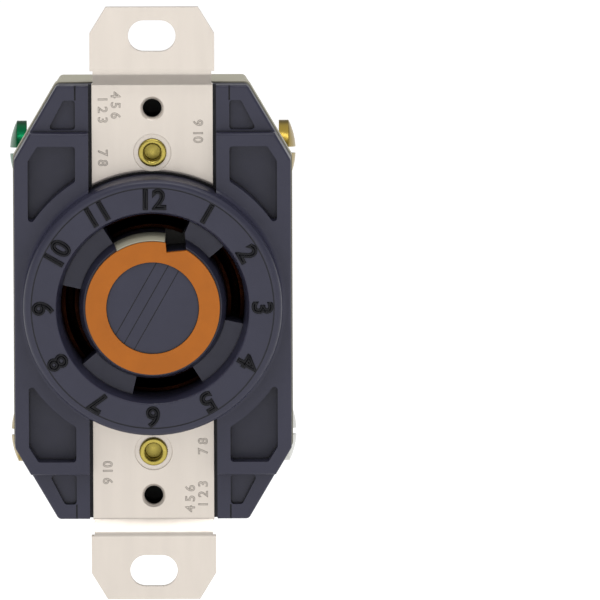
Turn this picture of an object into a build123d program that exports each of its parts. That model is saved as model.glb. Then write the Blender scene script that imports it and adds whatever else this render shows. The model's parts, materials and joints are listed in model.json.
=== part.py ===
from build123d import *

import os
from math import cos, radians, sin, sqrt

os.makedirs("parts", exist_ok=True)

# Flush locking receptacle, in millimetres. X runs to the right as seen from the front, Z up
# along the strap, and the face looks along -Y. The origin lies midway between the two
# box-screw slots, on the rear plane of the strap's ears, which is the wall plane.

# Strap, stamped from steel strip
plate_screw_pitch = 60.33
strap_length = 92.25
strap_thickness = 1.27
strap_width = 18.7
ear_flare = 0.27
ear_start = 36.2
jog_relief = 0.2
jog_depth = 1.8
jog_run = 2.2
ear_corner_run = 2.5
ear_corner_drop = 4.1
box_slot_length = 7.34
box_slot_width = 4.87
box_slot_to_end = 4.455
plate_hole_radius = 1.45
plate_countersink_radius = 1.85
bend_radius = 1.1
strap_arc_fillet = 0.45

# Front cover, moulded with the round turret
cover_width = 42.7
cover_height = 67.6
corner_run = 6.65
corner_drop = 11.4
outline_radius = 0.8
cover_front = 0.0
cover_back = 3.2
raised_height = 2.0
raised_ledge = 6.65
channel_clearance = 0.5
turret_ledge = 1.4
turret_height = 4.0
turret_rim_fillet = 1.0
turret_foot_fillet = 0.8
edge_fillet = 0.4
face_line_inset = 1.15
face_line_width = 0.2
face_line_depth = 0.15
strap_gap = 0.35

# Pockets that lighten the moulding's face
pocket_to_channel = 2.05
pocket_wall = 2.15
pocket_top_wall = 2.0
pocket_corner_run = 1.45
pocket_corner_drop = 2.3
pocket_rim = 2.55
pocket_depth = 3.5
pocket_radius = 0.5
end_pocket_gap = 0.3
end_pocket_width = 4.2
end_pocket_top_width = 1.8
end_pocket_depth = 1.2
end_groove_length = 2.3
end_groove_width = 0.25
end_groove_depth = 0.3

# Recess in the turret face, with the centre boss, the ring and the blade slots
bore_radius = 14.9
bore_draft = 0.7
blade_slot_width = 2.8
boss_draft = 1.0
recess_depth = 3.5
bore_fillet = 0.3
ring_width = 3.2
ring_thickness = 1.0
ring_clearance = 0.05
disc_recess = 0.3
disc_groove_width = 0.14
disc_groove_depth = 0.12
disc_groove_pitch = 1.8
disc_groove_offset = -1.13
disc_groove_angle = 60.5
disc_groove_count = 3
ground_slot_angles = (66.0, 122.5)
right_slot_angles = (-12.0, 40.0)
bottom_slot_angles = (-103.0, -57.5)
left_slot_angles = (167.2, 220.3)
hook_width = 3.05
hook_height = 4.9
hook_x = 3.45
hook_drop = 0.2
hook_angle = 5.3

# Semi-tubular rivets
rivet_to_turret = 3.35
rivet_radius = 1.75
rivet_bore_radius = 1.3
rivet_bore_depth = 2.6
rivet_flange_radius = 2.2
rivet_flange_thickness = 0.6
rivet_roll = 0.4
rivet_head_radius = 3.0
rivet_head_thickness = 1.2
rivet_clearance = 0.08
rivet_dimple_radius = 2.9
rivet_dimple_depth = 0.25

# Back body
body_lip = 0.2
body_lip_depth = 2.2
body_end_inset = 0.1
body_end_half_width = 14.2
body_corner_drop = 4.4
terminal_wall_inset = 4.45
shoulder_height = 16.3
shoulder_slope = 1.0
middle_inset = 0.75
body_step_depth = 12.4
body_step = 4.0
body_back = 27.0
body_fillet = 0.8
rivet_well_radius = 4.2
rivet_well_depth = 7.0
plate_screw_well_radius = 2.1
plate_screw_well_depth = 10.5
wire_entry_radius = 1.0
wire_entry_funnel = 1.0
gauge_length = 16.0
gauge_width = 1.6
gauge_depth = 0.8

# Contacts: arc jaws, an arm and a tunnel terminal
leaf_thickness = 0.6
leaf_bow = 0.4
leaf_clearance = 0.1
jaw_front = 1.6
jaw_back = 14.6
web_thickness = 1.2
arm_width = 4.5
side_arm_inner_x = 8.6
side_arm_foot = 6.5
end_arm_inner_x = 6.1
end_arm_foot = 10.6
tunnel_wall = 1.2
tunnel_thread_wall = 1.6
tunnel_width = 8.9
tunnel_length = 9.2
tunnel_height = 9.0
contact_clearance = 0.1
jaw_end_angle = 1.0

# Terminal screws and their pressure shoes
terminal_height = 22.0
terminal_depth = 13.0
terminal_skin = 1.0
head_radius = 4.62
head_rim = 1.5
head_crown = 2.6
head_gap = 2.6
head_slot_width = 0.95
head_slot_depth = 1.3
shank_radius = 2.35
shank_clearance = 0.07
body_hole_clearance = 0.3
shoe_thickness = 1.2
shoe_gap = 0.1
shoe_side_clearance = 0.2
shoe_length = 8.0
tip_radius = 1.5
tip_clearance = 0.06
tip_head_radius = 1.85
tip_head_thickness = 0.45
tip_well_clearance = 0.2
tip_float = 0.05

# Bonding strip
strip_thickness = 0.8
strip_width = 6.0
strip_leg_back = 12.0

# Places that follow from the sizes above
strap_end = strap_length / 2
box_screw_pitch = strap_length - 2 * box_slot_to_end
ear_width = strap_width + 2 * ear_flare
jog_width = strap_width - 2 * jog_relief
strap_back = jog_depth
strap_front = strap_back - strap_thickness
channel_width = strap_width + 2 * channel_clearance
raised_front = cover_front - raised_height
turret_radius = cover_width / 2 - turret_ledge
turret_front = raised_front - turret_height
raised_half = turret_radius + raised_ledge
face_line_radius = turret_radius - face_line_inset
pocket_inner_x = channel_width / 2 + pocket_to_channel
pocket_top = raised_half - pocket_top_wall
pocket_rim_radius = turret_radius + pocket_rim
end_pocket_foot = raised_half + end_pocket_gap
end_pocket_head = cover_height / 2 - end_groove_length
floor_front = turret_front + recess_depth
floor_outer_radius = bore_radius - bore_draft
floor_inner_radius = floor_outer_radius - blade_slot_width
boss_radius = floor_inner_radius - boss_draft
ring_outer_radius = boss_radius - ring_clearance
ring_inner_radius = ring_outer_radius - ring_width
hook_centre = (hook_x, floor_inner_radius - hook_drop)
strap_arc_radius = turret_radius + strap_gap
rivet_height = turret_radius + rivet_to_turret
rivet_hole_radius = rivet_radius + rivet_clearance
rivet_seat_depth = body_back - rivet_well_depth
body_end = cover_height / 2 + body_lip - body_end_inset
middle_half_width = cover_width / 2 - middle_inset
terminal_wall_x = cover_width / 2 - terminal_wall_inset
tunnel_outer_x = terminal_wall_x - terminal_skin - contact_clearance
tunnel_inner_x = tunnel_outer_x - tunnel_width
tunnel_front = terminal_depth - tunnel_length / 2
tunnel_bottom = terminal_height - tunnel_height / 2
head_underside_x = terminal_wall_x + head_gap
shoe_outer_x = tunnel_outer_x - tunnel_thread_wall - shoe_gap
shoe_inner_x = shoe_outer_x - shoe_thickness
shoe_height = tunnel_height - 2 * tunnel_wall - 2 * shoe_side_clearance
tip_well_radius = tip_head_radius + tip_well_clearance
tip_well_depth = tip_head_thickness + 2 * tip_float
wire_space_width = shoe_inner_x - tunnel_inner_x - tunnel_wall
leaf_inner_radius = floor_inner_radius + leaf_clearance
leaf_outer_radius = floor_outer_radius - leaf_clearance
jaw_middle = (jaw_front + jaw_back - web_thickness) / 2


def level(depth):
    """Plane across the device at a depth behind the wall plane, facing the front."""
    return Plane.XZ.offset(-depth)


def cover_outline(grow=0.0):
    """Octagonal outline of the cover as seen from the front, moved outwards by grow."""
    half_width = cover_width / 2
    half_height = cover_height / 2
    corner = (half_width - corner_run, half_height)
    shoulder = (half_width, half_height - corner_drop)
    with BuildSketch() as outline:
        with BuildLine():
            Polyline((0, half_height), corner, shoulder, (half_width, 0))
            mirror(about=Plane.XZ)
            mirror(about=Plane.YZ)
        make_face()
        fillet(outline.vertices().filter_by(lambda v: abs(v.X) > 1 and abs(v.Y) > 1), outline_radius)
        if grow:
            offset(amount=grow)
    return outline.sketch


def body_outline(end):
    """Outline of the back body behind its lip, narrow beside the terminals."""
    with BuildSketch() as outline:
        with BuildLine():
            Polyline(
                (0, end),
                (body_end_half_width, end),
                (terminal_wall_x, end - body_corner_drop),
                (terminal_wall_x, shoulder_height),
                (middle_half_width, shoulder_height - shoulder_slope),
                (middle_half_width, 0),
            )
            mirror(about=Plane.XZ)
            mirror(about=Plane.YZ)
        make_face()
    return outline.sketch


def ring_segment(inner, outer, start, end):
    """Part of a flat ring between two radii and two angles, seen from the front."""
    with BuildSketch() as segment:
        with BuildLine():
            inside = CenterArc((0, 0), inner, start, end - start)
            outside = CenterArc((0, 0), outer, start, end - start)
            Line(inside @ 0, outside @ 0)
            Line(inside @ 1, outside @ 1)
        make_face()
    return segment.sketch


def jaw_profile():
    """Section of the jaws through the device's axis: two bowed leaves joined by a web."""
    inner = leaf_inner_radius
    outer = leaf_outer_radius
    with BuildSketch() as profile:
        with BuildLine():
            Polyline(
                (inner, jaw_front),
                (inner + leaf_bow, jaw_middle),
                (inner, jaw_back),
                (outer, jaw_back),
                (outer - leaf_bow, jaw_middle),
                (outer, jaw_front),
                (outer - leaf_thickness, jaw_front),
                (outer - leaf_thickness - leaf_bow, jaw_middle),
                (outer - leaf_thickness, jaw_back - web_thickness),
                (inner + leaf_thickness, jaw_back - web_thickness),
                (inner + leaf_thickness + leaf_bow, jaw_middle),
                (inner + leaf_thickness, jaw_front),
                close=True,
            )
        make_face()
    return profile.sketch


def arm_outline(side, up, inner_x, foot, grow=0.0):
    """Strip from the end of the jaws to the tunnel terminal, seen from the front."""
    height = tunnel_bottom + tunnel_wall - foot
    centre = (side * (inner_x + arm_width / 2), up * (foot + height / 2))
    with BuildSketch() as outline:
        with Locations(centre):
            Rectangle(arm_width + 2 * grow, height + 2 * grow)
    return outline.sketch


def tunnel_outline(side, up, grow=0.0):
    """Outside of the tunnel terminal, seen from the front."""
    width = tunnel_outer_x - tunnel_inner_x
    centre = (side * (tunnel_inner_x + width / 2), up * terminal_height)
    with BuildSketch() as outline:
        with Locations(centre):
            Rectangle(width + 2 * grow, tunnel_height + 2 * grow)
    return outline.sketch


def wire_entry_outline(side, up, grow=0.0):
    """Mouth for a stripped wire, in line with the space behind the pressure shoe."""
    centre_x = tunnel_inner_x + tunnel_wall + wire_space_width / 2
    height = tunnel_height - 2 * tunnel_wall
    with BuildSketch() as outline:
        with Locations((side * centre_x, up * terminal_height)):
            RectangleRounded(wire_space_width + 2 * grow, height + 2 * grow, wire_entry_radius + grow)
    return outline.sketch


# Each terminal: name, side (right is 1), up (top is 1), slot, arm's inner edge and foot
terminals = (
    ("ground", "upper_left", -1, 1, ground_slot_angles, end_arm_inner_x, end_arm_foot),
    ("right", "upper_right", 1, 1, right_slot_angles, side_arm_inner_x, side_arm_foot),
    ("left", "lower_left", -1, -1, left_slot_angles, side_arm_inner_x, side_arm_foot),
    ("bottom", "lower_right", 1, -1, bottom_slot_angles, end_arm_inner_x, end_arm_foot),
)

# Front cover: plate, raised middle and turret
with BuildPart() as front_cover:
    with BuildSketch(level(cover_back)):
        add(cover_outline())
    extrude(amount=cover_back - cover_front)
    front_edges = front_cover.faces().sort_by(Axis.Y)[0].edges()
    fillet(front_edges, edge_fillet)
    with BuildSketch(level(cover_front + edge_fillet)):
        add(cover_outline())
        Rectangle(cover_width, 2 * raised_half, mode=Mode.INTERSECT)
    extrude(amount=raised_height + edge_fillet)
    fillet(front_cover.faces().sort_by(Axis.Y)[0].edges(), edge_fillet)
    with BuildSketch(level(raised_front)):
        Circle(turret_radius)
    extrude(amount=raised_front - turret_front)
    turret_circles = front_cover.edges(Select.LAST).filter_by(GeomType.CIRCLE)
    fillet(turret_circles.sort_by(Axis.Y)[-1], turret_foot_fillet)
    fillet(front_cover.faces().sort_by(Axis.Y)[0].edges(), turret_rim_fillet)

    # Channels for the two straps, up to the turret's wall
    with BuildSketch(level(strap_back)):
        Rectangle(channel_width, strap_length)
        Circle(turret_radius, mode=Mode.SUBTRACT)
    extrude(amount=strap_back - turret_front, mode=Mode.SUBTRACT)

    # Four deep pockets round the turret
    with BuildSketch(level(raised_front)):
        outer_x = cover_width / 2 - pocket_wall
        with BuildLine():
            Polyline(
                (pocket_inner_x, 0),
                (pocket_inner_x, pocket_top),
                (outer_x - pocket_corner_run, pocket_top),
                (outer_x, pocket_top - pocket_corner_drop),
                (outer_x, 0),
                close=True,
            )
        make_face()
        Circle(pocket_rim_radius, mode=Mode.SUBTRACT)
        fillet(vertices(), pocket_radius)
        mirror(about=Plane.YZ)
        mirror(about=Plane.XZ)
    extrude(amount=-pocket_depth, mode=Mode.SUBTRACT)

    # Four shallow pockets and two fine grooves at each end
    with BuildSketch(level(cover_front)):
        with BuildLine():
            Polyline(
                (pocket_inner_x, end_pocket_foot),
                (pocket_inner_x + end_pocket_width, end_pocket_foot),
                (pocket_inner_x + end_pocket_top_width, end_pocket_head),
                (pocket_inner_x, end_pocket_head),
                close=True,
            )
        make_face()
        fillet(vertices(), pocket_radius)
        mirror(about=Plane.YZ)
        mirror(about=Plane.XZ)
    extrude(amount=-end_pocket_depth, mode=Mode.SUBTRACT)
    with BuildSketch(level(cover_front)):
        with GridLocations(2 * pocket_inner_x, cover_height - end_groove_length, 2, 2):
            Rectangle(end_groove_width, end_groove_length)
    extrude(amount=-end_groove_depth, mode=Mode.SUBTRACT)

    # Fine line round the turret's face
    with BuildSketch(level(turret_front)):
        Circle(face_line_radius)
        Circle(face_line_radius - face_line_width, mode=Mode.SUBTRACT)
    extrude(amount=-face_line_depth, mode=Mode.SUBTRACT)

    # Drafted recess round the centre boss
    with BuildSketch(Plane.XY):
        with BuildLine():
            Polyline(
                (boss_radius, turret_front),
                (floor_inner_radius, floor_front),
                (floor_outer_radius, floor_front),
                (bore_radius, turret_front),
                close=True,
            )
        make_face()
    revolve(axis=Axis.Y, mode=Mode.SUBTRACT)
    face_circles = front_cover.edges(Select.LAST).filter_by(GeomType.CIRCLE).group_by(Axis.Y)[0]
    fillet(face_circles.sort_by(SortBy.RADIUS)[-1], bore_fillet)

    # Step for the colour ring and the sunk centre disc
    with BuildSketch(level(turret_front)):
        Circle(floor_inner_radius)
        Circle(ring_inner_radius - ring_clearance, mode=Mode.SUBTRACT)
    extrude(amount=-ring_thickness, mode=Mode.SUBTRACT)
    with BuildSketch(level(turret_front)):
        Circle(ring_inner_radius)
    extrude(amount=-disc_recess, mode=Mode.SUBTRACT)
    with BuildSketch(level(turret_front + disc_recess)):
        for index in range(disc_groove_count):
            shift = disc_groove_offset + (index - (disc_groove_count - 1) / 2) * disc_groove_pitch
            across = disc_groove_angle - 90
            chord = 2 * sqrt((ring_inner_radius - ring_clearance) ** 2 - shift**2)
            with Locations((shift * cos(radians(across)), shift * sin(radians(across)))):
                Rectangle(chord, disc_groove_width, rotation=disc_groove_angle)
    extrude(amount=-disc_groove_depth, mode=Mode.SUBTRACT)

    # Blade slots, open to the back, and the hook of the ground slot
    with BuildSketch(level(floor_front)):
        for _, _, _, _, (start, end), _, _ in terminals:
            add(ring_segment(floor_inner_radius, floor_outer_radius, start, end))
    extrude(amount=floor_front - cover_back, mode=Mode.SUBTRACT)
    with BuildSketch(level(turret_front)):
        with Locations(hook_centre):
            Rectangle(hook_width, hook_height, rotation=hook_angle)
    extrude(amount=turret_front - cover_back, mode=Mode.SUBTRACT)

    # Holes behind the straps for rivets and plate screws
    with BuildSketch(level(cover_back)):
        with GridLocations(0, 2 * rivet_height, 1, 2):
            Circle(rivet_hole_radius)
        with GridLocations(0, plate_screw_pitch, 1, 2):
            Circle(plate_screw_well_radius)
    extrude(amount=cover_back - strap_back, mode=Mode.SUBTRACT)
front_cover.part.label = "front_cover"
export_step(front_cover.part, "parts/front_cover.step")

# Colour ring round the centre disc, notched for the ground slot's hook
with BuildPart() as colour_ring:
    with BuildSketch(level(turret_front + ring_thickness)):
        Circle(ring_outer_radius)
        Circle(ring_inner_radius, mode=Mode.SUBTRACT)
        with Locations(hook_centre):
            Rectangle(hook_width, hook_height, rotation=hook_angle, mode=Mode.SUBTRACT)
    extrude(amount=ring_thickness)
colour_ring.part.label = "colour_ring"
export_step(colour_ring.part, "parts/colour_ring.step")

# Upper strap: bent strip cut to its outline, with an arc beside the turret
with BuildPart() as upper_strap:
    with BuildSketch(Plane.YZ):
        with BuildLine():
            middle_plane = (strap_front + strap_back) / 2
            FilletPolyline(
                (middle_plane, 0),
                (middle_plane, ear_start - jog_run),
                (middle_plane - jog_depth, ear_start),
                (middle_plane - jog_depth, strap_end),
                radius=bend_radius,
            )
        trace(line_width=strap_thickness)
    extrude(amount=ear_width / 2, both=True)
    with BuildSketch(level(0)):
        with BuildLine():
            ear_half = ear_width / 2
            Polyline(
                (0, strap_end),
                (ear_half - ear_corner_run, strap_end),
                (ear_half, strap_end - ear_corner_drop),
                (ear_half, ear_start),
                (jog_width / 2, ear_start),
                (jog_width / 2, ear_start - jog_run),
                (strap_width / 2, ear_start - jog_run),
                (strap_width / 2, 0),
                (0, 0),
            )
            mirror(about=Plane.YZ)
        make_face()
        Circle(strap_arc_radius, mode=Mode.SUBTRACT)
    extrude(amount=2 * ear_start, both=True, mode=Mode.INTERSECT)
    arc_edges = upper_strap.edges().filter_by(GeomType.CIRCLE).group_by(SortBy.RADIUS)[-1]
    fillet(arc_edges.sort_by(Axis.Y)[0], strap_arc_fillet)
    with BuildSketch(level(0)):
        with Locations((0, box_screw_pitch / 2)):
            SlotOverall(box_slot_length, box_slot_width)
        with Locations((0, plate_screw_pitch / 2)):
            Circle(plate_hole_radius)
        with Locations((0, rivet_height)):
            Circle(rivet_hole_radius)
    extrude(amount=2 * ear_start, both=True, mode=Mode.SUBTRACT)
    with Locations(Location(level(strap_front)) * Pos(0, plate_screw_pitch / 2, 0)):
        CounterSinkHole(plate_hole_radius, plate_countersink_radius, depth=strap_thickness)
    with Locations(Location(level(strap_front)) * Pos(0, rivet_height, 0)):
        Cylinder(
            rivet_dimple_radius,
            rivet_dimple_depth,
            align=(Align.CENTER, Align.CENTER, Align.MAX),
            mode=Mode.SUBTRACT,
        )
upper_strap.part.label = "upper_strap"
export_step(upper_strap.part, "parts/upper_strap.step")

with BuildPart() as lower_strap:
    mirror(upper_strap.part, about=Plane.XY)
lower_strap.part.label = "lower_strap"
export_step(lower_strap.part, "parts/lower_strap.step")

# Rivets: tube end rolled over the strap, solid shank, flat head in the body's well
rivet_seat = strap_front + rivet_dimple_depth
for name, height in (("upper_rivet", rivet_height), ("lower_rivet", -rivet_height)):
    with BuildPart() as rivet:
        with BuildSketch(Plane((0, 0, height))):
            with BuildLine():
                Polyline(
                    (0, rivet_seat - rivet_flange_thickness + rivet_bore_depth),
                    (rivet_bore_radius, rivet_seat - rivet_flange_thickness + rivet_bore_depth),
                    (rivet_bore_radius, rivet_seat - rivet_flange_thickness),
                    (rivet_flange_radius, rivet_seat - rivet_flange_thickness),
                    (rivet_flange_radius, rivet_seat),
                    (rivet_radius, rivet_seat),
                    (rivet_radius, rivet_seat_depth),
                    (rivet_head_radius, rivet_seat_depth),
                    (rivet_head_radius, rivet_seat_depth + rivet_head_thickness),
                    (0, rivet_seat_depth + rivet_head_thickness),
                    close=True,
                )
            make_face()
        revolve(axis=Axis((0, 0, height), (0, 1, 0)))
        rolled = rivet.edges().filter_by(GeomType.CIRCLE).group_by(Axis.Y)[0]
        fillet(rolled, rivet_roll)
    rivet.part.label = name
    export_step(rivet.part, f"parts/{name}.step")

# Contacts: jaws behind the slot, arm, and tunnel with a threaded outer wall
for name, _, side, up, (start, end), arm_x, arm_foot in terminals:
    first = start + jaw_end_angle
    last = end - jaw_end_angle
    towards = (cos(radians(last)), 0, sin(radians(last)))
    across = (-sin(radians(last)), 0, cos(radians(last)))
    with BuildPart() as contact:
        with BuildSketch(Plane(origin=(0, 0, 0), x_dir=towards, z_dir=across)):
            add(jaw_profile())
        revolve(axis=Axis.Y, revolution_arc=last - first)
        with BuildSketch(level(jaw_back)):
            add(arm_outline(side, up, arm_x, arm_foot))
            Circle(leaf_inner_radius, mode=Mode.SUBTRACT)
        extrude(amount=web_thickness)
        with BuildSketch(level(tunnel_front)):
            add(tunnel_outline(side, up))
            inside_width = tunnel_outer_x - tunnel_inner_x - tunnel_wall - tunnel_thread_wall
            inside_x = tunnel_inner_x + tunnel_wall + inside_width / 2
            with Locations((side * inside_x, up * terminal_height)):
                Rectangle(inside_width, tunnel_height - 2 * tunnel_wall, mode=Mode.SUBTRACT)
        extrude(amount=-tunnel_length)
        with BuildSketch(Plane.YZ.offset(side * (tunnel_outer_x - tunnel_thread_wall / 2))):
            with Locations((terminal_depth, up * terminal_height)):
                Circle(shank_radius + shank_clearance)
        extrude(amount=tunnel_thread_wall, both=True, mode=Mode.SUBTRACT)
    contact.part.label = f"{name}_contact"
    export_step(contact.part, f"parts/{name}_contact.step")

# Terminal screws and pressure shoes
for _, corner, side, up, _, _, _ in terminals:
    outwards = Plane(
        origin=(0, terminal_depth, up * terminal_height), x_dir=(0, side, 0), z_dir=(side, 0, 0)
    )
    with BuildPart() as shoe:
        with BuildSketch(outwards.offset(shoe_inner_x)):
            Rectangle(shoe_length, shoe_height)
            Circle(tip_radius + tip_clearance, mode=Mode.SUBTRACT)
        extrude(amount=shoe_thickness)
        with BuildSketch(outwards.offset(shoe_inner_x)):
            Circle(tip_well_radius)
        extrude(amount=tip_well_depth, mode=Mode.SUBTRACT)
    shoe.part.label = f"{corner}_shoe"
    export_step(shoe.part, f"parts/{corner}_shoe.step")

    shoulder_x = shoe_outer_x + tip_float
    tip_head_top = shoe_inner_x + tip_well_depth - tip_float
    crown_radius = (head_radius**2 + (head_crown - head_rim) ** 2) / (2 * (head_crown - head_rim))
    with BuildPart() as screw:
        with BuildSketch(Plane(origin=outwards.origin, x_dir=(0, 0, 1), z_dir=(0, side, 0))):
            with BuildLine():
                rim = (head_radius, head_underside_x + head_rim)
                crown = (0, head_underside_x + head_crown)
                Polyline(
                    crown,
                    (0, tip_head_top - tip_head_thickness),
                    (tip_head_radius, tip_head_top - tip_head_thickness),
                    (tip_head_radius, tip_head_top),
                    (tip_radius, tip_head_top),
                    (tip_radius, shoulder_x),
                    (shank_radius, shoulder_x),
                    (shank_radius, head_underside_x),
                    (head_radius, head_underside_x),
                    rim,
                )
                RadiusArc(rim, crown, -crown_radius)
            make_face()
        revolve(axis=Axis(outwards.origin, (side, 0, 0)))
        with BuildSketch(outwards.offset(head_underside_x + head_crown)):
            Rectangle(3 * head_radius, head_slot_width)
        extrude(amount=-head_slot_depth, mode=Mode.SUBTRACT)
    screw.part.label = f"{corner}_screw"
    export_step(screw.part, f"parts/{corner}_screw.step")

# Bonding strip from the ground terminal to the upper rivet
strip_front = cover_back
strip_left = -tunnel_inner_x
strip_right = rivet_head_radius
with BuildPart() as bonding_strip:
    with BuildSketch(Plane.XY.offset(rivet_height)):
        with BuildLine():
            Polyline(
                (strip_right, strip_front),
                (strip_left, strip_front),
                (strip_left, strip_leg_back),
                (strip_left + strip_thickness, strip_leg_back),
                (strip_left + strip_thickness, strip_front + strip_thickness),
                (strip_right, strip_front + strip_thickness),
                close=True,
            )
        make_face()
    extrude(amount=strip_width / 2, both=True)
    with BuildSketch(level(strip_front)):
        with Locations((0, rivet_height)):
            Circle(rivet_hole_radius)
    extrude(amount=-strip_thickness, mode=Mode.SUBTRACT)
bonding_strip.part.label = "bonding_strip"
export_step(bonding_strip.part, "parts/bonding_strip.step")

# Back body: lip behind the cover, deep front block and stepped rear block
with BuildPart() as back_body:
    with BuildSketch(level(cover_back)):
        add(cover_outline(body_lip))
    extrude(amount=-body_lip_depth)
    with BuildSketch(level(cover_back + body_lip_depth)):
        add(body_outline(body_end))
    extrude(amount=-(body_step_depth - cover_back - body_lip_depth))
    with BuildSketch(level(body_step_depth)):
        add(body_outline(body_end - body_step))
    extrude(amount=-(body_back - body_step_depth))
    fillet(back_body.faces().sort_by(Axis.Y)[-1].edges(), body_fillet)
    fillet(
        back_body.edges().filter_by(Axis.Y).filter_by(lambda e: e.center().Y > cover_back + body_lip_depth),
        body_fillet,
    )

    # Chambers for the contacts, open to the front
    for _, _, side, up, (start, end), arm_x, arm_foot in terminals:
        with BuildSketch(level(cover_back)):
            add(
                ring_segment(
                    leaf_inner_radius - contact_clearance,
                    leaf_outer_radius + contact_clearance,
                    start,
                    end,
                )
            )
            add(arm_outline(side, up, arm_x, arm_foot, contact_clearance))
        extrude(amount=cover_back - jaw_back, mode=Mode.SUBTRACT)
        with BuildSketch(level(cover_back)):
            add(tunnel_outline(side, up, contact_clearance))
        extrude(amount=cover_back - tunnel_front - tunnel_length, mode=Mode.SUBTRACT)
        with BuildSketch(level(body_back)):
            add(wire_entry_outline(side, up))
        extrude(amount=body_back - tunnel_front, mode=Mode.SUBTRACT)
        with BuildSketch(level(body_back)):
            add(wire_entry_outline(side, up, wire_entry_funnel))
        extrude(amount=wire_entry_funnel, taper=45, mode=Mode.SUBTRACT)
        with BuildSketch(Plane.YZ.offset(side * terminal_wall_x)):
            with Locations((terminal_depth, up * terminal_height)):
                Circle(shank_radius + body_hole_clearance)
        extrude(amount=2 * terminal_skin, both=True, mode=Mode.SUBTRACT)

    # Seat of the bonding strip
    with BuildSketch(Plane.XY.offset(rivet_height)):
        with BuildLine():
            Polyline(
                (strip_right + contact_clearance, strip_front),
                (strip_left - contact_clearance, strip_front),
                (strip_left - contact_clearance, strip_leg_back + contact_clearance),
                (strip_left + strip_thickness + contact_clearance, strip_leg_back + contact_clearance),
                (strip_left + strip_thickness + contact_clearance, strip_front + strip_thickness),
                (strip_right + contact_clearance, strip_front + strip_thickness),
                close=True,
            )
        make_face()
    extrude(amount=strip_width / 2 + contact_clearance, both=True, mode=Mode.SUBTRACT)

    # Rivet holes with wells at the back, and room for the plate screws' tips
    with BuildSketch(level(cover_back)):
        with GridLocations(0, 2 * rivet_height, 1, 2):
            Circle(rivet_hole_radius)
    extrude(amount=cover_back - body_back, mode=Mode.SUBTRACT)
    with BuildSketch(level(rivet_seat_depth)):
        with GridLocations(0, 2 * rivet_height, 1, 2):
            Circle(rivet_well_radius)
    extrude(amount=rivet_seat_depth - body_back, mode=Mode.SUBTRACT)
    with BuildSketch(level(cover_back)):
        with GridLocations(0, plate_screw_pitch, 1, 2):
            Circle(plate_screw_well_radius)
    extrude(amount=cover_back - plate_screw_well_depth, mode=Mode.SUBTRACT)

    # Strip-length gauge on the back
    with BuildSketch(level(body_back)):
        SlotOverall(gauge_length, gauge_width)
    extrude(amount=gauge_depth, mode=Mode.SUBTRACT)
back_body.part.label = "back_body"
export_step(back_body.part, "parts/back_body.step")
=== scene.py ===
import json
from math import cos, pi, radians, sin

import bmesh
import bpy
import numpy as np
from mathutils import Matrix, Vector


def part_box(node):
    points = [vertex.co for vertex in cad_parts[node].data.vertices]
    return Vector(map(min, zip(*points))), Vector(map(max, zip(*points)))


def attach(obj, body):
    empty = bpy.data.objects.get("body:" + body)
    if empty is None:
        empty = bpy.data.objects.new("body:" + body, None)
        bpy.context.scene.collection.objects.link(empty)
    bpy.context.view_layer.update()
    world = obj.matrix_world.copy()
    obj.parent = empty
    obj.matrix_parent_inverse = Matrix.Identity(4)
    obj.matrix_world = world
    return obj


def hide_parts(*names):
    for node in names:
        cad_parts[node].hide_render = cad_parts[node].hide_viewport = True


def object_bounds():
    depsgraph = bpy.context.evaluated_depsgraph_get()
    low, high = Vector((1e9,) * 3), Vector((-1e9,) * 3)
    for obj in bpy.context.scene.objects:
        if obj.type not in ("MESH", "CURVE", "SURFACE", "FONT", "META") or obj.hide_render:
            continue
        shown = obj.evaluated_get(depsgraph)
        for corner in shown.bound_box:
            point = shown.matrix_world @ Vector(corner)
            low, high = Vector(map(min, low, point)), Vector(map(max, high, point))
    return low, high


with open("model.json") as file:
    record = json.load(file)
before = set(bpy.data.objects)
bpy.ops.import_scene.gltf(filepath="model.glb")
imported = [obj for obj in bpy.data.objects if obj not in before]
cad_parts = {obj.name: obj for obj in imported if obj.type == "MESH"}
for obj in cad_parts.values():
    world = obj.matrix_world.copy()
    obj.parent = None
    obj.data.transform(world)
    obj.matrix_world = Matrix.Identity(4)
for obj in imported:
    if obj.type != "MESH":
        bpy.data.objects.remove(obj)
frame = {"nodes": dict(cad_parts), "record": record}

bl_info = {
    "name": "Locking receptacle",
    "version": (1, 0, 0),
    "blender": (4, 5, 0),
    "location": "3D View > Sidebar > Receptacle",
    "description": "Finishes and fine pieces of a flush locking receptacle",
    "category": "Add Mesh",
}

MM = 0.001
IMAGE_WIDTH = 600
CAD_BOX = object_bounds()
HOUSING = "housing"
CORNERS = ("upper_left", "upper_right", "lower_left", "lower_right")
TURRET_FRONT = CAD_BOX[0][1]
STRAP_THICKNESS = 1.27 * MM
SHANK_RADIUS = 2.35 * MM
# Fine lines on the turret's face: three across the disc inside the ring, and one round the rim
DISC_RADIUS = 7.1 * MM
RIM_LINE_RADIUS = 18.8 * MM
LINE_DEPTH = 0.3 * MM
# Height of a figure in the built-in typeface, as a share of its size
FIGURE_HEIGHT = 0.73
# An edge that folds by more than CREASE is rounded, and faces that differ by less than FLAT are joined
CREASE = radians(28)
FLAT = radians(0.4)
# Points nearer to each other than this are one
WELD = 1e-6
# The ejector pins' places on the back of the body, across and up from its middle, in mm
EJECTOR_PLACES = ((-13, 7.5), (13, 7.5), (-13, -7.5), (13, -7.5), (0, 13), (0, -13))
# Painted shade: how far crevices are painted darker on small metal parts in the open, and on the contacts
# deep in their chambers
OPEN_CREVICE_SHADE = {"reach_mm": 1.5, "closed": 0.25, "open_at": 0.85, "darkest": 0.3}
CHAMBER_CREVICE_SHADE = {"reach_mm": 8.0, "closed": 0.35, "open_at": 0.9, "darkest": 0.01}
# Half of the floor's side in metres, and the plain white added to its own shading
FLOOR_HALF = 12.0
FLOOR_GLOW = 0.2
# Strength of the world on matt surfaces, and what reflections keep of it in the unlit band
BACKDROP_LIGHT = 0.84
UNLIT_SHARE = 0.3
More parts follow.
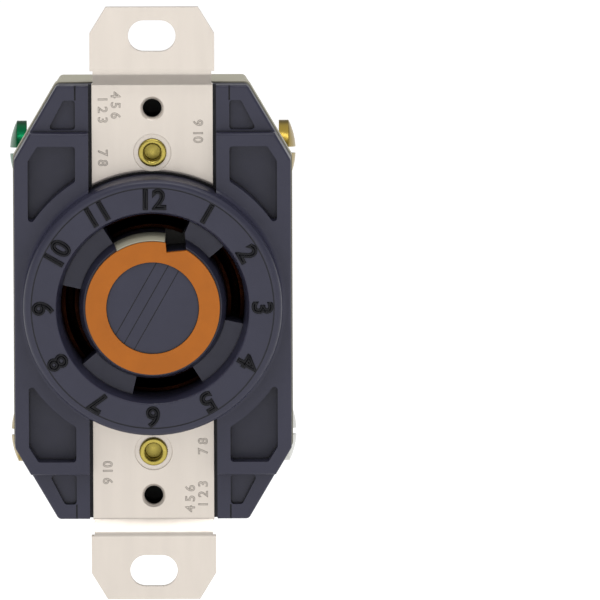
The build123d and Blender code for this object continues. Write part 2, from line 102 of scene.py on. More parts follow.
# Where the origin shows in the picture, in pixels of its 600 by 600 frame
ORIGIN_COLUMN = 152.9
ORIGIN_ROW = 302.2


def linear(code):
    """Linear colour of an sRGB hex code: the usual power curve, with its straight toe."""
    parts = np.array([int(code[i : i + 2], 16) for i in (0, 2, 4)]) / 255
    curve = np.where(parts <= 0.04045, parts / 12.92, ((parts + 0.055) / 1.055) ** 2.4)
    return tuple(float(value) for value in curve)


def colour_property(name, description, code):
    """A colour with its default given as an sRGB hex code."""
    return bpy.props.FloatVectorProperty(
        name=name, description=description, default=linear(code), size=3, min=0, max=1, subtype="COLOR"
    )


def length_property(name, description, millimetres):
    """A length in metres with its default given in millimetres."""
    return bpy.props.FloatProperty(
        name=name, description=description, default=millimetres * MM, unit="LENGTH", precision=5
    )


class ReceptacleSizes(bpy.types.PropertyGroup):
    """Sizes of the finish and of the fine pieces."""

    mould_edge: length_property("Mould edge", "Rounding of a moulded edge", 0.17)
    sheared_edge: length_property("Sheared edge", "Rounding of a stamped edge", 0.14)
    thread_pitch: length_property("Thread pitch", "Pitch of the terminal screws", 0.794)
    thread_depth: length_property("Thread depth", "Depth of the terminal screws' thread", 0.42)
    numeral_radius: length_property("Numeral radius", "Radius of the ring of numerals on the turret", 16.75)
    numeral_height: length_property("Numeral height", "Height of the plain numerals on the turret", 3.1)
    numeral_stroke: length_property("Numeral stroke", "Thickness of a numeral's raised outline", 0.2)
    stamp_height: length_property("Stamp height", "Height of the numerals stamped in the strap", 1.5)
    stamp_stroke: length_property("Stamp stroke", "Thickness of a stamped numeral's outline", 0.05)
    ejector_radius: length_property("Ejector radius", "Radius of the ejector pins' marks on the back", 1.5)
    slot_turn: bpy.props.FloatProperty(
        name="Slot turn",
        description="How far the terminal screws' slots stand off level",
        default=radians(-7.0),
        subtype="ANGLE",
    )
    floor_drop: length_property("Floor drop", "Distance from the lower ear down to the floor", 25.0)
    camera_distance: length_property("Camera distance", "Distance from the camera to the object", 3000.0)
    camera_elevation: bpy.props.FloatProperty(
        name="Camera elevation",
        description="Angle of the camera above the device's axis",
        default=radians(8.3),
        subtype="ANGLE",
    )
    camera_roll: bpy.props.FloatProperty(
        name="Camera roll",
        description="Small turn of the camera about its line of sight",
        default=radians(-0.19),
        subtype="ANGLE",
    )
    pixels_per_mm: bpy.props.FloatProperty(
        name="Picture scale", description="Pixels of the picture to a millimetre", default=6.481
    )


class ReceptacleColours(bpy.types.PropertyGroup):
    """Colours of the finishes."""

    nylon: colour_property("Cover nylon", "Black nylon of the front cover", "2D2D3D")
    ring: colour_property("Ring plastic", "Orange plastic of the ring", "A45A06")
    nickel: colour_property("Nickel", "Plating of the strap", "D2C9BF")
    body: colour_property("Body plastic", "Pale grey plastic of the back body", "A39F8D")
    brass: colour_property("Rivet brass", "Brass of the rivets", "B4A454")
    contact: colour_property("Contact brass", "Copper-rich brass of the contacts", "93502C")
    green: colour_property("Green dye", "Dyed plating of the ground screw", "0A5A36")
    screw_brass: colour_property("Screw brass", "Brass plating of the line screws", "96803A")
    silver: colour_property("Silver screw", "Nickel plating of the neutral screw", "C3C3BE")
    steel: colour_property("Shoe steel", "Zinc-plated steel of the pressure shoes", "B4B4B2")
    backdrop: colour_property("Backdrop", "Floor and background", "FFFFFF")


def sizes():
    return bpy.context.scene.receptacle_sizes


def colours():
    return bpy.context.scene.receptacle_colours


def add_node(tree, kind, settings=(), *sources, **links):
    """Adds one shader node.

    Settings go to its sockets or its own fields, sources come into its sockets in their order, and
    links come into its sockets by name.
    """
    node = tree.nodes.new(kind)
    for key, value in dict(settings).items():
        if key in node.inputs:
            node.inputs[key].default_value = value
        else:
            setattr(node, key, value)
    for place, source in enumerate(sources):
        tree.links.new(source, node.inputs[place])
    for key, source in links.items():
        tree.links.new(source, node.inputs[key.replace("_", " ")])
    return node


def surface(name, colour, metallic=0.0, roughness=0.5, **sockets):
    """A material with one Principled shader, and that shader's tree."""
    material = bpy.data.materials.new(name)
    material.use_nodes = True
    tree = material.node_tree
    shader = tree.nodes["Principled BSDF"]
    shader.inputs["Base Color"].default_value = (*colour, 1)
    shader.inputs["Metallic"].default_value = metallic
    shader.inputs["Roughness"].default_value = roughness
    for key, value in sockets.items():
        shader.inputs[key.replace("_", " ")].default_value = value
    material.diffuse_color = (*colour, 1)
    return material, tree, shader


def grain(tree, size_mm, stretch=(1, 1, 1)):
    """Noise whose blotches are about size_mm across, longer along an axis with a larger stretch."""
    place = add_node(tree, "ShaderNodeTexCoord").outputs["Object"]
    scale = tuple(1 / (size_mm * MM * factor) for factor in stretch)
    mapping = add_node(tree, "ShaderNodeMapping", {"Scale": scale}, Vector=place)
    settings = {"Scale": 1.0, "Detail": 3.0, "Roughness": 0.55}
    return add_node(tree, "ShaderNodeTexNoise", settings, Vector=mapping.outputs["Vector"]).outputs["Fac"]


def vary(tree, shader, fac, colour, low, high):
    """Base colour that runs from low to high times the given colour as fac goes up."""
    dark = (*[min(1, c * low) for c in colour], 1)
    light = (*[min(1, c * high) for c in colour], 1)
    ramp = add_node(tree, "ShaderNodeValToRGB", Fac=fac)
    ramp.color_ramp.elements[0].position = 0.3
    ramp.color_ramp.elements[0].color = dark
    ramp.color_ramp.elements[1].position = 0.7
    ramp.color_ramp.elements[1].color = light
    tree.links.new(ramp.outputs["Color"], shader.inputs["Base Color"])


def roughen(tree, shader, fac, low, high):
    """Roughness that runs from low to high as fac goes up."""
    spread = add_node(tree, "ShaderNodeMapRange", {"From Min": 0.3, "From Max": 0.7}, Value=fac)
    spread.inputs["To Min"].default_value = low
    spread.inputs["To Max"].default_value = high
    tree.links.new(spread.outputs["Result"], shader.inputs["Roughness"])


def shade_crevices(tree, shader, reach_mm, closed, open_at, darkest):
    """Base colour multiplied down to darkest where walls within reach keep the light off.

    The share of open sky rises from closed, where the colour is darkest, to open_at, where it is whole.
    """
    source = shader.inputs["Base Color"].links[0].from_socket
    near = add_node(tree, "ShaderNodeAmbientOcclusion", {"Distance": reach_mm * MM, "samples": 8})
    share = add_node(
        tree,
        "ShaderNodeMapRange",
        {"From Min": closed, "From Max": open_at, "To Min": darkest},
        Value=near.outputs["AO"],
    )
    mix = add_node(tree, "ShaderNodeMix", {"data_type": "RGBA", "blend_type": "MULTIPLY"})
    mix.inputs[0].default_value = 1
    tree.links.new(source, mix.inputs[6])
    tree.links.new(share.outputs["Result"], mix.inputs[7])
    tree.links.new(mix.outputs[2], shader.inputs["Base Color"])


def bump(tree, shader, height, depth_mm, strength):
    """Relief of the given depth on the shader's normal."""
    settings = {"Strength": strength, "Distance": depth_mm * MM}
    relief = add_node(tree, "ShaderNodeBump", settings, Height=height)
    tree.links.new(relief.outputs["Normal"], shader.inputs["Normal"])


def moulded_nylon():
    """Black nylon from a spark-eroded mould: dark, satin, with a fine even grain."""
    colour = colours().nylon
    material, tree, shader = surface(
        "black_nylon_moulded", colour, roughness=0.36, IOR=1.53, Specular_IOR_Level=0.3
    )
    vary(tree, shader, grain(tree, 6.0), colour, 0.94, 1.06)
    # Painted shade: the blade slots are painted black, and so are the fine lines and tight corners
    shade_crevices(tree, shader, reach_mm=4.0, closed=0.03, open_at=0.15, darkest=0.06)
    shade_crevices(tree, shader, reach_mm=0.5, closed=0.4, open_at=0.85, darkest=0.05)
    roughen(tree, shader, grain(tree, 1.2), 0.32, 0.4)
    bump(tree, shader, grain(tree, 0.35), 0.012, 0.5)
    return material


def moulded_ring():
    """Orange plastic, moulded: even colour with faint flow clouds and a soft gloss."""
    colour = colours().ring
    material, tree, shader = surface(
        "orange_plastic_moulded", colour, roughness=0.5, IOR=1.5, Specular_IOR_Level=0.3
    )
    vary(tree, shader, grain(tree, 4.0), colour, 0.94, 1.05)
    bump(tree, shader, grain(tree, 0.4), 0.01, 0.4)
    return material


def moulded_body():
    """Pale grey thermoplastic, moulded: matt, slightly green, with a fine grain."""
    colour = colours().body
    material, tree, shader = surface("grey_plastic_moulded", colour, roughness=0.55, IOR=1.5)
    vary(tree, shader, grain(tree, 3.0), colour, 0.98, 1.02)
    # Painted shade: steps and corners are painted a little darker, and the chambers behind the blade slots
    # are painted black
    shade_crevices(tree, shader, reach_mm=4.0, closed=0.25, open_at=0.85, darkest=0.35)
    shade_crevices(tree, shader, reach_mm=12.0, closed=0.05, open_at=0.42, darkest=0.01)
    bump(tree, shader, grain(tree, 0.4), 0.015, 0.5)
    return material


def nickel_plated():
    """Rolled steel strip with nickel plating: faint rolling lines along its length and soft clouds."""
    colour = colours().nickel
    material, tree, shader = surface("nickel_plated_steel_rolled", colour, metallic=0.5, roughness=0.3)
    lines = grain(tree, 0.3, (1, 1, 60))
    vary(tree, shader, grain(tree, 3.0, (1, 1, 6)), colour, 0.97, 1.03)
    roughen(tree, shader, lines, 0.28, 0.32)
    return material


def polished_nylon():
    """The same nylon against a polished part of the mould, as in raised figures: glossier, with its colour
    painted far darker as painted shade along the figures' edges.
    """
    # Painted shade: a tenth of the nylon's colour stands in for the shade along the raised figures
    colour = [value * 0.1 for value in colours().nylon]
    material, tree, shader = surface(
        "black_nylon_polished_painted_shade", colour, roughness=0.3, IOR=1.53, Specular_IOR_Level=0.2
    )
    vary(tree, shader, grain(tree, 3.0), colour, 0.9, 1.1)
    return material


def pressed_line():
    """Edge of a figure pressed into plated steel: the plating is dulled in the thin line, and its colour is
    painted darker as the shade in a pressed groove.
    """
    # Painted shade: the nickel at a little over half its brightness stands in for the shade in the groove
    colour = [value * 0.55 for value in colours().nickel]
    material, tree, shader = surface(
        "nickel_plated_steel_pressed_line", colour, metallic=1.0, roughness=0.5
    )
    vary(tree, shader, grain(tree, 0.8), colour, 0.85, 1.15)
    return material


def formed_metal(name, colour, roughness, crevice=OPEN_CREVICE_SHADE):
    """Plated or bare metal from a press or a riveting tool: small blotches and a light grain."""
    grain_mm = 0.5
    spread = 0.08
    material, tree, shader = surface(name, colour, metallic=1.0, roughness=roughness)
    vary(tree, shader, grain(tree, grain_mm * 3), colour, 0.94, 1.05)
    # Painted shade: the base colour is painted darker in crevices and hollows
    shade_crevices(tree, shader, **crevice)
    roughen(tree, shader, grain(tree, grain_mm), roughness - spread, roughness + spread)
    bump(tree, shader, grain(tree, grain_mm), 0.006, 0.5)
    return material


def turned_metal(name, colour):
    """Plated screw with the lathe's fine rings on its head, about the screw's own axis.

    The four axes lie along X at one depth and at one height above and below the middle, so the
    height's absolute value serves all four.
    """
    roughness = 0.28
    # Real turning marks lie 0.05 mm apart, too fine to show, so they are drawn 0.2 mm apart
    ring_mm = 0.2
    material, tree, shader = surface(name, colour, metallic=1.0, roughness=roughness)
    low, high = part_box("upper_right_screw")
    depth, height = (low[1] + high[1]) / 2, (low[2] + high[2]) / 2
    coordinates = add_node(tree, "ShaderNodeTexCoord").outputs["Object"]
    place = add_node(tree, "ShaderNodeSeparateXYZ", (), coordinates)
    level = add_node(tree, "ShaderNodeMath", {"operation": "ABSOLUTE"}, place.outputs["Z"])
    from_axis = add_node(tree, "ShaderNodeCombineXYZ", Y=place.outputs["Y"], Z=level.outputs[0])
    centred = add_node(tree, "ShaderNodeVectorMath", {"operation": "SUBTRACT"}, from_axis.outputs[0])
    centred.inputs[1].default_value = (0, depth, height)
    reach = add_node(tree, "ShaderNodeVectorMath", {"operation": "LENGTH"}, centred.outputs[0])
    settings = {"noise_dimensions": "1D", "Scale": 1 / (ring_mm * MM), "Detail": 1.0}
    noise = add_node(tree, "ShaderNodeTexNoise", settings, W=reach.outputs["Value"])
    rings = noise.outputs["Fac"]
    vary(tree, shader, rings, colour, 0.93, 1.06)
    # Painted shade: the base colour is painted darker in the slot and other crevices
    shade_crevices(tree, shader, **OPEN_CREVICE_SHADE)
    roughen(tree, shader, rings, roughness - 0.06, roughness + 0.08)
    bump(tree, shader, rings, 0.008, 0.5)
    return material


def finishes():
    """One material for each of the record's slots."""
    shade = colours()
    return {
        "cover_nylon": moulded_nylon(),
        "ring_plastic": moulded_ring(),
        "strap_nickel": nickel_plated(),
        # Bright yellow rivet whose rolled rim catches the light, with painted shade in its hollow
        "rivet_brass": formed_metal("brass_rolled_over", shade.brass, 0.3),
        "body_plastic": moulded_body(),
        # Reddish brass, painted down to near black as painted shade deep in its chambers, so it only glints
        # at the mouths of the blade slots
        "contact_brass": formed_metal("brass_stamped", shade.contact, 0.32, CHAMBER_CREVICE_SHADE),
        # Ground screw in deep green, line screws in dull brass, neutral screw in pale silver
        "screw_green": turned_metal("green_dyed_zinc_turned", shade.green),
        "screw_brass": turned_metal("brass_plated_steel_turned", shade.screw_brass),
        "screw_silver": turned_metal("nickel_plated_steel_turned", shade.silver),
        # Duller grey shoes inside the terminals
        "shoe_steel": formed_metal("zinc_plated_steel_stamped", shade.steel, 0.4),
    }


def node_slot(node):
    """The record's material slot of a CAD node."""
    for entry in frame["record"]["subparts"]:
        if entry["node"] == node:
            return entry["material_slot"]
    raise RuntimeError("no material slot for " + node)


def finish_for(slot):
    """The finish of a slot, made once."""
    store = finish_for.__dict__.setdefault("made", {})
    if not store:
        store.update(finishes())
    return store[slot]


def link_piece(name, mesh, slot, body, finish=None):
    """Puts a mesh into the scene as a piece that rides on a body and has its slot's finish or its own."""
    piece = bpy.data.objects.new(name, mesh)
    bpy.context.scene.collection.objects.link(piece)
    mesh.materials.clear()
    mesh.materials.append(finish or finish_for(slot))
    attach(piece, body)
    return piece


def body_of_node(node):
    """The CAD body that carries a node."""
    for body, members in frame["record"]["behaviour"]["bodies"].items():
        if node in members:
            return body
    raise RuntimeError("no body holds " + node)


def cut_crisp(corner):
    """Whether a corner belongs to a fine line on the turret's face: round its rim or across its disc."""
    reach = np.hypot(corner.x, corner.z)
    on_face = corner.y < TURRET_FRONT + LINE_DEPTH
    return on_face and (reach < DISC_RADIUS or abs(reach - RIM_LINE_RADIUS) < LINE_DEPTH)


def finished_node(node, edge):
    """A copy of a CAD node with merged corners and flat faces joined.

    Its sharp edges are rounded, apart from those of the fine lines on the turret's face.
    """
    mesh = frame["nodes"][node].data.copy()
    work = bmesh.new()
    work.from_mesh(mesh)
    bmesh.ops.remove_doubles(work, verts=work.verts, dist=WELD)
    bmesh.ops.dissolve_limit(work, angle_limit=FLAT, verts=work.verts, edges=work.edges)
    rounded = work.edges.layers.float.new("bevel_weight_edge")
    for line in work.edges:
        sharp = line.calc_face_angle(0) > CREASE
        line[rounded] = float(sharp and not all(cut_crisp(end.co) for end in line.verts))
    work.to_mesh(mesh)
    work.free()
    mesh.name = node + "_finished"
    mesh.shade_smooth()
    piece = link_piece(node + "_finished", mesh, node_slot(node), body_of_node(node))
    rounding = piece.modifiers.new("edge_rounding", "BEVEL")
    rounding.width = edge
    rounding.segments = 2
    rounding.limit_method = "WEIGHT"
    rounding.harden_normals = True
    rounding.use_clamp_overlap = True
    flatness = piece.modifiers.new("flat_faces_stay_flat", "WEIGHTED_NORMAL")
    flatness.weight = 100
    flatness.keep_sharp = True
    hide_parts(node)
    return piece


def grid_mesh(name, points, close_u=False, close_v=False):
    """Mesh of a grid of points, rows along u and columns along v, with quads between neighbours."""
    rows, columns = points.shape[:2]
    index = np.arange(rows * columns).reshape(rows, columns)
    if close_u:
        index = np.vstack([index, index[:1]])
    if close_v:
        index = np.hstack([index, index[:, :1]])
    quads = np.stack([index[:-1, :-1], index[1:, :-1], index[1:, 1:], index[:-1, 1:]], axis=-1)
    mesh = bpy.data.meshes.new(name)
    mesh.from_pydata(points.reshape(-1, 3).tolist(), [], quads.reshape(-1, 4).tolist())
    mesh.update()
    return mesh


def ring_mesh(name, profile, centre, axis, steps):
    """Lathe form: each profile point (radius, distance along the axis) is swept round the axis.

    The profile is joined from its last point back to its first, which gives a closed ring.
    """
    along = Vector(axis).normalized()
    first = along.orthogonal().normalized()
    second = along.cross(first)
    angle = np.linspace(0, 2 * pi, steps, endpoint=False)
    radius, reach = np.array(profile).T
    ring = np.outer(np.cos(angle), first) + np.outer(np.sin(angle), second)
    points = radius[:, None, None] * ring[None] + reach[:, None, None] * np.array(along)
    return tidy_mesh(grid_mesh(name, points + np.array(centre), close_u=True, close_v=True))


def thread_mesh(name, centre, axis, start, end, radius):
    """Helical ridge of a screw thread.

    The helix turns by 2 pi for each pitch that it climbs from start to end along the axis. Its
    section is a triangle with a blunt crest at the given radius and its foot a depth further in,
    and over the first and last half turn the crest shrinks to the foot.
    """
    pitch = sizes().thread_pitch
    depth = sizes().thread_depth
    along = np.array(axis)
    first = np.array(Vector(axis).orthogonal().normalized())
    second = np.cross(along, first)
    turns = (end - start) / pitch - 1
    angle = np.linspace(0, 2 * pi * turns, int(turns * 40))
    climb = start + pitch / 2 + pitch * angle / (2 * pi)
    ramp = np.clip(np.minimum(angle, angle[::-1]) / pi, 0.05, 1)
    # Each corner of the section: its depth below the crest, and its place across the ridge
    section = ((1.1, -0.48), (0.0, -0.09), (0.0, 0.09), (1.1, 0.48))
    out = np.cos(angle)[:, None] * first + np.sin(angle)[:, None] * second
    rows = []
    for below, shift in section:
        reach = radius - depth + depth * (1 - below) * ramp
        rows.append(out * reach[:, None] + (climb + shift * pitch * ramp)[:, None] * along)
    mesh = grid_mesh(name, np.stack(rows, axis=1) + np.array(centre), close_v=True)
    return cap_ends(mesh)


def numeral_outline(figures, height, stroke):
    """Outline of plain figures as thin tubes: the points, centred and upright in a plane, and the faces."""
    curve = bpy.data.curves.new("figures", "FONT")
    curve.body = figures
    curve.align_x = "CENTER"
    curve.align_y = "CENTER"
    curve.fill_mode = "NONE"
    curve.size = height / FIGURE_HEIGHT
    curve.bevel_depth = stroke
    curve.bevel_resolution = 1
    curve.resolution_u = 4
    holder = bpy.data.objects.new("figures", curve)
    mesh = bpy.data.meshes.new_from_object(holder)
    points = np.empty(len(mesh.vertices) * 3)
    mesh.vertices.foreach_get("co", points)
    faces = [tuple(face.vertices) for face in mesh.polygons]
    bpy.data.objects.remove(holder)
    bpy.data.curves.remove(curve)
    bpy.data.meshes.remove(mesh)
    return points.reshape(-1, 3), faces


def numerals_mesh(name, places, height, stroke, level):
    """Plain figures set upon a plane that faces the front.

    Each place is (figures, x, z, turn), and a figure's point (a, b, c) goes to
    x + a cos(turn) - b sin(turn), z + a sin(turn) + b cos(turn), with c out of the plane at level.
    """
    points, faces = [], []
    count = 0
    for figures, x, z, turn in places:
        shape, loops = numeral_outline(figures, height, stroke)
        a, b, c = shape.T
        across = x + a * cos(turn) - b * sin(turn)
        up = z + a * sin(turn) + b * cos(turn)
        points.append(np.stack([across, level - c, up], axis=1))
        faces += [tuple(count + corner for corner in face) for face in loops]
        count += len(shape)
    mesh = bpy.data.meshes.new(name)
    mesh.from_pydata(np.concatenate(points).tolist(), [], faces)
    mesh.update()
    return tidy_mesh(mesh, 1e-8)


def tidy_mesh(mesh, distance=WELD):
    """Merges doubled points, such as those at a pole, and turns the faces outwards."""
    work = bmesh.new()
    work.from_mesh(mesh)
    bmesh.ops.remove_doubles(work, verts=work.verts, dist=distance)
    bmesh.ops.recalc_face_normals(work, faces=work.faces)
    work.to_mesh(mesh)
    work.free()
    mesh.shade_smooth()
    return mesh


def sleeve_mesh():
    """Thin conical shell that lies on the centre boss.

    At angle t and share s of its depth, the radius is the ring's radius plus s times the boss's
    draft, and the depth runs from behind the ring's face to the recess floor. A second layer, a
    wall further out, closes the shell.
    """
    clearance, draft, set_back, depth, wall = (size * MM for size in (0.06, 1.0, 0.15, 3.3, 0.08))
    # Ends of the arc in degrees from the right, inside the ground slot's own
    arc_start, arc_end = 79.5, 121.5
    turns, levels = 33, 9
    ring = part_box("colour_ring")
    inner = ring[1][0] + clearance
    front = ring[0][1] + set_back
    turn = np.radians(np.linspace(arc_start, arc_end, turns))
    share = np.linspace(0, 1, levels)
    loop = np.concatenate([share, share[::-1]])
    lift = np.concatenate([np.zeros(levels), np.full(levels, wall)])
    radius = inner + loop * draft + lift
    points = np.stack(
        [
            np.cos(turn)[:, None] * radius,
            np.broadcast_to(front + loop * depth, (turns, 2 * levels)),
            np.sin(turn)[:, None] * radius,
        ],
        axis=2,
    )
    return cap_ends(grid_mesh("ground_sleeve", points, close_v=True))


def cap_ends(mesh):
    """Closes every open rim of a mesh with one face."""
    work = bmesh.new()
    work.from_mesh(mesh)
    bmesh.ops.holes_fill(work, edges=[edge for edge in work.edges if edge.is_boundary], sides=0)
    work.to_mesh(mesh)
    work.free()
    return tidy_mesh(mesh, 1e-7)


def strap_face():
    """Level of the straps' front face between the jogs, from the rivets that are clenched on it."""
    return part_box("upper_strap")[1][1] - STRAP_THICKNESS


def stamp_places(up):
    """Two columns of figures down a strap's left side and one down its right, turned to run along it."""
    turn = -up * pi / 2
    left, inner, right = (place * MM for place in (-7.7, -5.7, 7.0))
    middle = up * 30.0 * MM
    step = up * 3.4 * MM
    return (
        ("1 2 3", up * left, middle, turn),
        ("4 5 6", up * inner, middle + step * 0.2, turn),
        ("7 8", up * left, middle - step * 2.2, turn),
        ("9 10", up * right, middle - step, turn),
    )


def threaded_screw(corner):
    """The CAD screw with its plain shank turned down to the thread's foot, and the thread round it."""
    node = corner + "_screw"
    low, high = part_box(node)
    side = 1 if high[0] > 0 else -1
    centre = (0, (low[1] + high[1]) / 2, (low[2] + high[2]) / 2)
    piece = finished_node(node, sizes().sheared_edge)
    mesh = piece.data
    points = np.empty(len(mesh.vertices) * 3)
    mesh.vertices.foreach_get("co", points)
    points = points.reshape(-1, 3)
    reach = points[:, 1:] - np.array(centre[1:])
    distance = np.hypot(*reach.T)
    tolerance = 0.03 * MM
    shank = abs(distance - SHANK_RADIUS) < tolerance
    foot = SHANK_RADIUS - sizes().thread_depth
    reach[shank] *= (foot / distance[shank])[:, None]
    # The slots of the real screws stand a little off level, and one can look through them
    turn = sizes().slot_turn
    points[:, 1] = centre[1] + reach[:, 0] * cos(turn) - reach[:, 1] * sin(turn)
    points[:, 2] = centre[2] + reach[:, 0] * sin(turn) + reach[:, 1] * cos(turn)
    mesh.vertices.foreach_set("co", points.ravel())
    mesh.update()
    ends = np.sort(side * points[shank, 0])
    thread = thread_mesh(node + "_thread", centre, (side, 0, 0), ends[0], ends[-1], SHANK_RADIUS)
    link_piece(node + "_thread", thread, node_slot(node), body_of_node(node))


class ReceptaclePiece:
    """What every operator here shares."""

    bl_options = {"REGISTER", "UNDO"}


class RECEPTACLE_OT_mouldings(ReceptaclePiece, bpy.types.Operator):
    """Front cover, colour ring and back body with the small radii of a mould"""

    bl_idname = "receptacle.mouldings"
    bl_label = "Mouldings"

    def execute(self, context):
        for node in ("front_cover", "colour_ring", "back_body"):
            finished_node(node, sizes().mould_edge)
        return {"FINISHED"}


class RECEPTACLE_OT_sleeve(ReceptaclePiece, bpy.types.Operator):
    """Pale edge of the body's sleeve, seen in the ground slot above the colour ring"""

    bl_idname = "receptacle.sleeve"
    bl_label = "Ground sleeve"

    def execute(self, context):
        link_piece("ground_sleeve", sleeve_mesh(), "body_plastic", HOUSING)
        return {"FINISHED"}


class RECEPTACLE_OT_ejector_marks(ReceptaclePiece, bpy.types.Operator):
    """Round witness marks that the mould's ejector pins leave on the back of the body"""

    bl_idname = "receptacle.ejector_marks"
    bl_label = "Ejector marks"

    def execute(self, context):
        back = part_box("back_body")[1][1]
        # Section of the raised rim in mm: half a wave, with its ends sunk a little into the body
        half_width, height, sunk = 0.15, 0.06, 0.01
        share = np.linspace(-1, 1, 7)
        radius = sizes().ejector_radius + share * half_width * MM
        reach = np.cos(share * pi / 2) * height * MM - sunk * MM
        profile = np.stack([radius, reach], axis=1)
        for count, (x, z) in enumerate(EJECTOR_PLACES, 1):
            mesh = ring_mesh("ejector_mark", profile, (x * MM, back, z * MM), (0, 1, 0), steps=48)
            link_piece("ejector_mark_%d" % count, mesh, "body_plastic", HOUSING)
        return {"FINISHED"}


class RECEPTACLE_OT_numerals(ReceptaclePiece, bpy.types.Operator):
    """Plain numerals: raised on the turret as on a dial, and pressed into the straps"""

    bl_idname = "receptacle.numerals"
    bl_label = "Numerals"

    def execute(self, context):
        radius = sizes().numeral_radius
        places = []
        for hour in range(1, 13):
            turn = -radians(30 * hour)
            places.append((str(hour), -radius * sin(turn), radius * cos(turn), turn))
        mesh = numerals_mesh(
            "turret_numerals", places, sizes().numeral_height, sizes().numeral_stroke, TURRET_FRONT
        )
        link_piece("turret_numerals", mesh, "cover_nylon", HOUSING, polished_nylon())
        for strap, up in (("upper_strap", 1), ("lower_strap", -1)):
            mesh = numerals_mesh(
                strap + "_numerals",
                stamp_places(up),
                sizes().stamp_height,
                sizes().stamp_stroke,
                strap_face(),
            )
            link_piece(strap + "_numerals", mesh, "strap_nickel", HOUSING, pressed_line())
        return {"FINISHED"}


class RECEPTACLE_OT_stampings(ReceptaclePiece, bpy.types.Operator):
    """Straps, contacts, bonding strip and shoes with the rolled edge of a press tool"""

    bl_idname = "receptacle.stampings"
    bl_label = "Stampings"

    def execute(self, context):
        for node in ("upper_strap", "lower_strap"):
            finished_node(node, sizes().sheared_edge)
        small = [name + "_contact" for name in ("ground", "right", "bottom", "left")]
        small += ["bonding_strip"] + [corner + "_shoe" for corner in CORNERS]
        for node in small:
            finished_node(node, sizes().sheared_edge / 2)
        return {"FINISHED"}


class RECEPTACLE_OT_turned(ReceptaclePiece, bpy.types.Operator):
    """Rivets and terminal screws"""

    bl_idname = "receptacle.turned"
    bl_label = "Rivets and screws"

    def execute(self, context):
        for node in ("upper_rivet", "lower_rivet"):
            finished_node(node, sizes().sheared_edge)
        for corner in CORNERS:
            threaded_screw(corner)
        return {"FINISHED"}


class RECEPTACLE_OT_stage(ReceptaclePiece, bpy.types.Operator):
    """Floor, soft light, white background and camera"""

    bl_idname = "receptacle.stage"
    bl_label = "Stage"

    def execute(self, context):
        scene = context.scene
        scene.view_settings.view_transform = "Standard"
        lay_floor()
        light_world(scene)
        hang_lights()
        place_camera(scene)
        return {"FINISHED"}


def lay_floor():
    """Plain floor below the lower ear, as pale as the background; it keeps the object's shadow."""
    low = CAD_BOX[0][2] - sizes().floor_drop
    corners = [(-1, -1), (1, -1), (1, 1), (-1, 1)]
    mesh = bpy.data.meshes.new("floor")
    mesh.from_pydata([(x * FLOOR_HALF, y * FLOOR_HALF, low) for x, y in corners], [], [(0, 1, 2, 3)])
    floor = bpy.data.objects.new("floor", mesh)
    bpy.context.scene.collection.objects.link(floor)
    material, tree, shader = surface("white_paper_sweep", colours().backdrop, roughness=0.9)
    # Paper is lit like any matt sheet, and a share of plain white keeps it as pale as the background
    settings = {"Color": (*colours().backdrop, 1), "Strength": FLOOR_GLOW}
    glow = add_node(tree, "ShaderNodeEmission", settings)
    both = add_node(tree, "ShaderNodeAddShader", (), shader.outputs[0], glow.outputs[0])
    tree.links.new(both.outputs[0], tree.nodes["Material Output"].inputs["Surface"])
    mesh.materials.append(material)


def light_world(scene):
    """White to the camera and in reflections, and a softer even light on everything else."""
    world = bpy.data.worlds.new("studio")
    scene.world = world
    world.use_nodes = True
    tree = world.node_tree
    tree.nodes.clear()
    larger = {"operation": "MAXIMUM"}
    product = {"operation": "MULTIPLY"}
    ray = add_node(tree, "ShaderNodeLightPath").outputs
    shiny = add_node(tree, "ShaderNodeMath", larger, ray["Is Camera Ray"], ray["Is Glossy Ray"])
    clear = add_node(tree, "ShaderNodeMath", larger, shiny.outputs[0], ray["Is Transmission Ray"])
    light = {"To Min": BACKDROP_LIGHT, "To Max": 1.0}
    strength = add_node(tree, "ShaderNodeMapRange", light, Value=clear.outputs[0])
    # Reflections also find the unlit room between the front and the top lamp, which draws the edges
    direction = add_node(tree, "ShaderNodeTexCoord").outputs["Generated"]
    rise = add_node(tree, "ShaderNodeSeparateXYZ", (), direction).outputs["Z"]
    lower_edge = {"From Min": 0.1, "From Max": 0.3}
    upper_edge = {"From Min": 0.7, "From Max": 0.9, "To Min": 1.0, "To Max": 0.0}
    above = add_node(tree, "ShaderNodeMapRange", lower_edge, Value=rise)
    below = add_node(tree, "ShaderNodeMapRange", upper_edge, Value=rise)
    between = add_node(tree, "ShaderNodeMath", product, above.outputs["Result"], below.outputs["Result"])
    dark = add_node(tree, "ShaderNodeMath", product, between.outputs[0], ray["Is Glossy Ray"])
    kept = {"To Min": 1.0, "To Max": UNLIT_SHARE}
    share = add_node(tree, "ShaderNodeMapRange", kept, Value=dark.outputs[0])
    total = add_node(tree, "ShaderNodeMath", product, strength.outputs["Result"], share.outputs["Result"])
    white = {"Color": (*colours().backdrop, 1)}
    sky = add_node(tree, "ShaderNodeBackground", white, Strength=total.outputs[0])
    add_node(tree, "ShaderNodeOutputWorld", Surface=sky.outputs[0])


def hang_light(name, place, width, height, watts):
    """A rectangular softbox at place, turned to the origin; lengths in metres."""
    data = bpy.data.lights.new(name, "AREA")
    data.shape = "RECTANGLE"
    data.size = width
    data.size_y = height
    data.energy = watts
    lamp = bpy.data.objects.new(name, data)
    lamp.location = place
    lamp.rotation_euler = (-Vector(place)).to_track_quat("-Z", "Y").to_euler()
    bpy.context.scene.collection.objects.link(lamp)


def hang_lights():
    """A broad softbox high in front, a narrow strip above for the edges, and a low fill."""
    hang_light("front_softbox", (-0.4, -1.15, 0.6), width=1.0, height=0.8, watts=0.5)
    hang_light("top_strip", (0.05, -0.3, 0.7), width=0.6, height=0.1, watts=1.5)
    hang_light("low_fill", (0.1, -1.2, 0.05), width=0.8, height=0.15, watts=0.4)


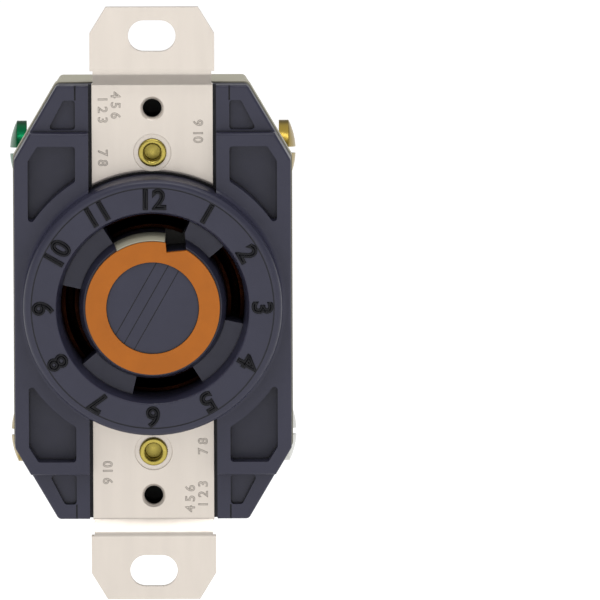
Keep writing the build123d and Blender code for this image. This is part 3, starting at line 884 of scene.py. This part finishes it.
def place_camera(scene):
    """Long lens, a little above the device's axis; the device stands left of the picture's middle."""
    setting = sizes()
    distance = setting.camera_distance
    tilt = setting.camera_elevation
    data = bpy.data.cameras.new("camera")
    data.sensor_width = 36
    picture_width = IMAGE_WIDTH / setting.pixels_per_mm * MM
    data.lens = data.sensor_width * distance / picture_width
    data.clip_start = distance / 10
    data.clip_end = distance * 10
    right = Vector((1, 0, 0))
    back = Vector((0, -cos(tilt), sin(tilt)))
    up = Vector((0, sin(tilt), cos(tilt)))
    pixel = MM / setting.pixels_per_mm
    middle = IMAGE_WIDTH / 2
    aim = right * (middle - ORIGIN_COLUMN) * pixel + up * (ORIGIN_ROW - middle) * pixel
    camera = bpy.data.objects.new("camera", data)
    turn = Matrix((right, up, back)).transposed().to_4x4()
    camera.matrix_world = Matrix.Translation(aim + back * distance) @ turn @ Matrix.Rotation(
        setting.camera_roll, 4, "Z"
    )
    bpy.context.scene.collection.objects.link(camera)
    scene.camera = camera


class RECEPTACLE_PT_panel(bpy.types.Panel):
    """Buttons for the pieces and the values that shape them"""

    bl_label = "Receptacle"
    bl_space_type = "VIEW_3D"
    bl_region_type = "UI"
    bl_category = "Receptacle"

    def draw(self, context):
        layout = self.layout
        for step in STEPS:
            layout.operator(step.bl_idname)
        for group in (context.scene.receptacle_sizes, context.scene.receptacle_colours):
            for name in group.__annotations__:
                layout.prop(group, name)


STEPS = (
    RECEPTACLE_OT_mouldings,
    RECEPTACLE_OT_sleeve,
    RECEPTACLE_OT_ejector_marks,
    RECEPTACLE_OT_numerals,
    RECEPTACLE_OT_stampings,
    RECEPTACLE_OT_turned,
    RECEPTACLE_OT_stage,
)
CLASSES = (ReceptacleSizes, ReceptacleColours, *STEPS, RECEPTACLE_PT_panel)


def register():
    for item in CLASSES:
        bpy.utils.register_class(item)
    bpy.types.Scene.receptacle_sizes = bpy.props.PointerProperty(type=ReceptacleSizes)
    bpy.types.Scene.receptacle_colours = bpy.props.PointerProperty(type=ReceptacleColours)


def unregister():
    del bpy.types.Scene.receptacle_colours
    del bpy.types.Scene.receptacle_sizes
    for item in reversed(CLASSES):
        bpy.utils.unregister_class(item)


def main():
    register()
    for step in STEPS:
        space, name = step.bl_idname.split(".")
        getattr(getattr(bpy.ops, space), name)()
    bpy.context.view_layer.update()


if __name__ == "__main__":
    main()
